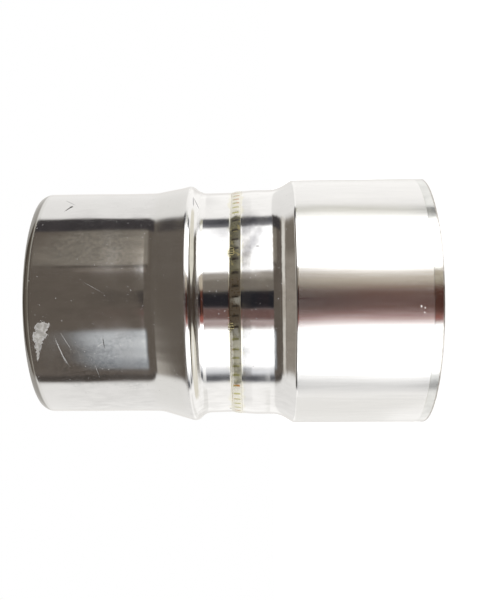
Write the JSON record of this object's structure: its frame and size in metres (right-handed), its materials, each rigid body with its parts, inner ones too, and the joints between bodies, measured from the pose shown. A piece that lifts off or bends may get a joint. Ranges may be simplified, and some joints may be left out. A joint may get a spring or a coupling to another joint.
{
  "type": "flue pipe reducer",
  "caption": "Straight single-wall flue reducer in stainless steel: a wide brushed socket, a shoulder and neck, a girth weld, a stop bead and a narrower polished spigot.",
  "frame": {"origin": "middle of the socket's rim, on the surface that the fitting stands on", "axes": "+Z along the flue's axis, from the socket up to the spigot; X and Y are alike, because the fitting is round"},
  "size_m": [0.1112, 0.1112, 0.17],
  "materials": {
    "brushed_stainless": "satin brushed, with a bare bright lip at the mouth",
    "weld_metal": "as welded, straw and olive heat tint",
    "polished_stainless": "bright polished sheet"
  },
  "bodies": {
    "root": {"socket_shell": "brushed_stainless", "girth_weld": "weld_metal", "spigot_shell": "polished_stainless"}
  },
  "joints": []
}
